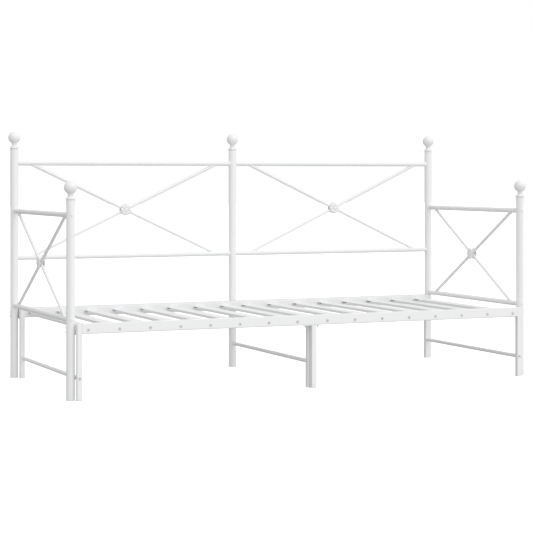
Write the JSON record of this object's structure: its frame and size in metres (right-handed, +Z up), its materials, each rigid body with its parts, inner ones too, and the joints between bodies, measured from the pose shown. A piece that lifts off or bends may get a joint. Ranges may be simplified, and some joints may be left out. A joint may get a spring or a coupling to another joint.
{
  "type": "daybed",
  "caption": "Metal daybed with a post-framed back and arms, crossed rods with rosettes, and a slatted base that pulls forward on its own legs to make a double.",
  "frame": {"origin": "on the floor at the centre of the footprint", "axes": "+X along the length of the bed to the right seen from the front, +Y from the front to the back, +Z up"},
  "size_m": [2.0844, 0.8737, 1.056],
  "materials": {
    "frame_paint": "satin white powder coat on steel tube",
    "base_paint": "satin white powder coat on steel rail and leg tube",
    "castings": "white powder coat on cast finials and rosettes",
    "slats": "white powder coat on pressed steel slats",
    "bolts": "off-white coated button heads",
    "glides": "moulded white plastic foot plug"
  },
  "bodies": {
    "fixed_frame": {"arm_cross_left": "frame_paint", "arm_cross_right": "frame_paint", "arm_left_lower_rail": "frame_paint", "arm_left_top_rail": "frame_paint", "arm_right_lower_rail": "frame_paint", "arm_right_top_rail": "frame_paint", "arm_rosettes_left": "castings", "arm_rosettes_right": "castings", "back_cross_left": "frame_paint", "back_cross_right": "frame_paint", "back_lower_rail_left": "frame_paint", "back_lower_rail_right": "frame_paint", "back_rosettes_left": "castings", "back_rosettes_right": "castings", "back_top_rail_left": "frame_paint", "back_top_rail_right": "frame_paint", "finial_back_left": "castings", "finial_back_middle": "castings", "finial_back_right": "castings", "finial_front_left": "castings", "finial_front_right": "castings", "fixed_back_rail": "base_paint", "fixed_centre_leg": "base_paint", "fixed_centre_stretcher": "base_paint", "fixed_front_rail": "base_paint", "fixed_slats": "slats", "frame_bolts": "bolts", "post_back_left": "frame_paint", "post_back_middle": "frame_paint", "post_back_right": "frame_paint", "post_front_left": "frame_paint", "post_front_right": "frame_paint", "post_glides": "glides"},
    "sliding_base": {"leg_glides": "glides", "slide_centre_leg": "base_paint", "slide_front_rail": "base_paint", "slide_leg_front_left": "base_paint", "slide_leg_front_right": "base_paint", "slide_leg_rear_left": "base_paint", "slide_leg_rear_right": "base_paint", "slide_rear_rail": "base_paint", "slide_screws": "bolts", "slide_slat_01": "slats", "slide_slat_02": "slats", "slide_slat_03": "slats", "slide_slat_04": "slats", "slide_slat_05": "slats", "slide_slat_06": "slats", "slide_slat_07": "slats", "slide_slat_08": "slats", "slide_slat_09": "slats", "slide_slat_10": "slats", "slide_slat_11": "slats", "slide_slat_12": "slats", "slide_slat_13": "slats", "slide_slat_14": "slats", "slide_slat_15": "slats", "slide_slat_16": "slats", "slide_stretcher_left": "base_paint", "slide_stretcher_right": "base_paint"}
  },
  "joints": [
    {"name": "pull_out", "type": "slide", "parent": "fixed_frame", "child": "sliding_base", "axis": [0, -1, 0], "range_m": [0, 0.75]}
  ]
}
